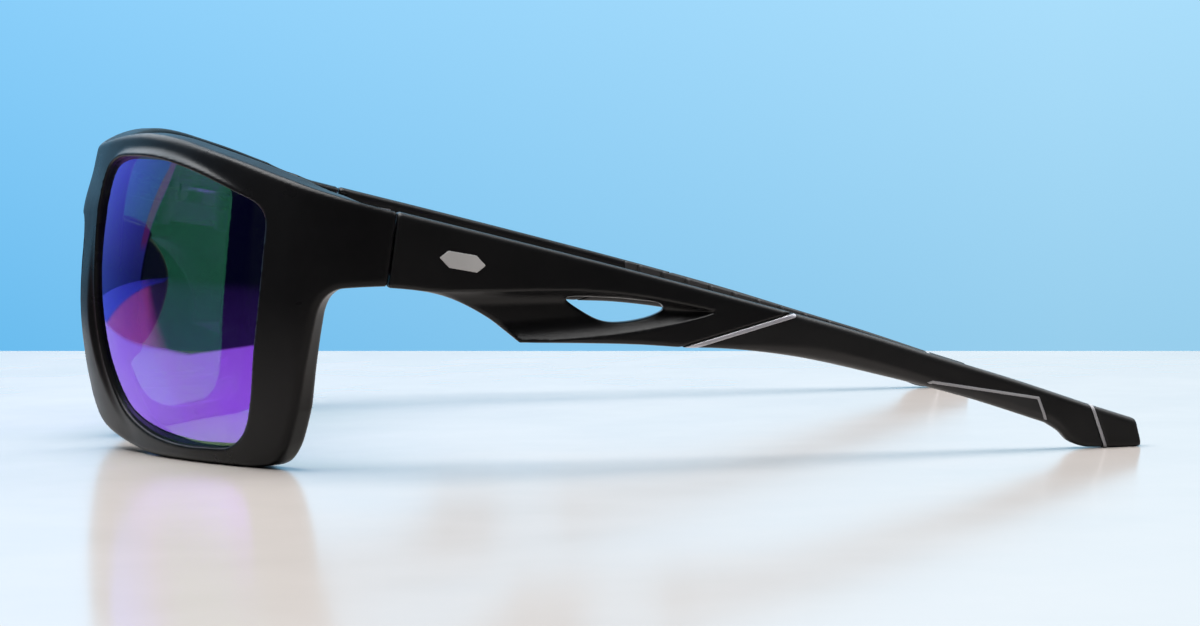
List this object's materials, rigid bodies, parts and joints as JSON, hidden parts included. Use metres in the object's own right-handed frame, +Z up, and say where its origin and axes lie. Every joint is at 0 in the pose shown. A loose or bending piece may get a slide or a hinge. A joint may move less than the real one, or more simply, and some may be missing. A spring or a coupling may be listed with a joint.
{
  "type": "wraparound sports sunglasses",
  "caption": "Wraparound sunglasses with mirrored lenses in a matte black full-rim front and folding temples with a cut-through vent, soft rear sleeves and grip inlays.",
  "frame": {"origin": "bottom centre of the bounding box of the open glasses, on the table, midway between the temples and midway between the bridge and the temple ends", "axes": "+Z up, lenses face -Y, temples point to +Y, +X is the wearer's left"},
  "size_m": [0.1366, 0.1609, 0.0509],
  "materials": {
    "frame_black": "satin injection-moulded nylon",
    "sleeve_black": "matte soft-touch rubber",
    "grip_rubber": "matte",
    "soft_rubber": "matte",
    "lens_mirror": "polished, blue-violet mirror coating on grey-green tint",
    "silver_line": "satin silver paint",
    "grey_line": "satin grey paint",
    "badge_grey": "printed",
    "hinge_steel": "satin",
    "screw_steel": "polished"
  },
  "bodies": {
    "front": {"front_frame": "frame_black", "left_lens": "lens_mirror", "left_nose_pad": "soft_rubber", "left_front_leaf": "hinge_steel", "left_front_leaf_screws": "screw_steel", "left_hinge_screw": "screw_steel", "right_lens": "lens_mirror", "right_nose_pad": "soft_rubber", "right_front_leaf": "hinge_steel", "right_front_leaf_screws": "screw_steel", "right_hinge_screw": "screw_steel"},
    "left_temple": {"left_arm": "frame_black", "left_sleeve": "sleeve_black", "left_stripe": "silver_line", "left_grip": "grip_rubber", "left_grip_trim": "grey_line", "left_inner_pad": "grip_rubber", "left_tip_trim": "grey_line", "left_tip_cap": "sleeve_black", "left_mark": "badge_grey", "left_arm_leaf": "hinge_steel", "left_arm_leaf_screws": "screw_steel"},
    "right_temple": {"right_arm": "frame_black", "right_sleeve": "sleeve_black", "right_stripe": "silver_line", "right_grip": "grip_rubber", "right_grip_trim": "grey_line", "right_inner_pad": "grip_rubber", "right_tip_trim": "grey_line", "right_tip_cap": "sleeve_black", "right_mark": "badge_grey", "right_arm_leaf": "hinge_steel", "right_arm_leaf_screws": "screw_steel"}
  },
  "joints": [
    {"name": "left_temple_fold", "type": "hinge", "parent": "front", "child": "left_temple", "pos_m": [0.0615, -0.03485, 0.0333], "axis": [0, 0.1616, 0.9869], "range_deg": [0, 92]},
    {"name": "right_temple_fold", "type": "hinge", "parent": "front", "child": "right_temple", "pos_m": [-0.0615, -0.03485, 0.0333], "axis": [0, -0.1616, -0.9869], "range_deg": [0, 84]}
  ]
}
